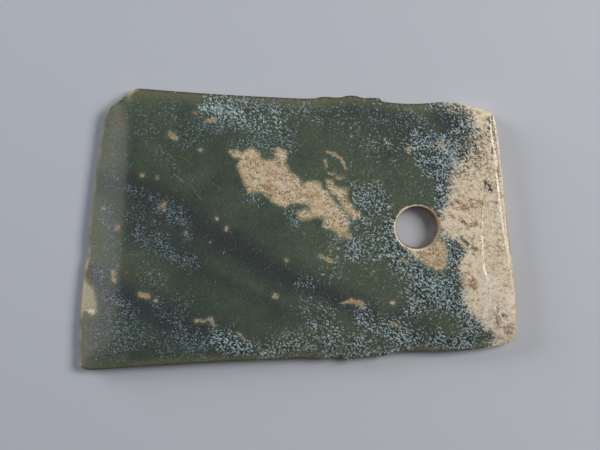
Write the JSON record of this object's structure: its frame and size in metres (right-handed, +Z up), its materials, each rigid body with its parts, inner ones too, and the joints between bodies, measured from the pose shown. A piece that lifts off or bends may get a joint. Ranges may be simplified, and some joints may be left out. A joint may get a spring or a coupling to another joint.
{
  "type": "perforated jadeite axe head",
  "caption": "Thin trapezoid stone axe blade with a ground cutting edge, a broken corner and a drilled hole near the butt for lashing it to a haft.",
  "frame": {"origin": "middle of the bounding box, on the surface that the blade lies on", "axes": "+X runs from the cutting edge to the butt, +Y across the blade towards the broken corner's side, +Z up out of the upper face"},
  "size_m": [0.1748, 0.1126, 0.0065],
  "materials": {
    "jade": "ground and polished green jadeite with pale flecks and cream weathering"
  },
  "bodies": {
    "root": {"axe_head": "jade"}
  },
  "joints": []
}
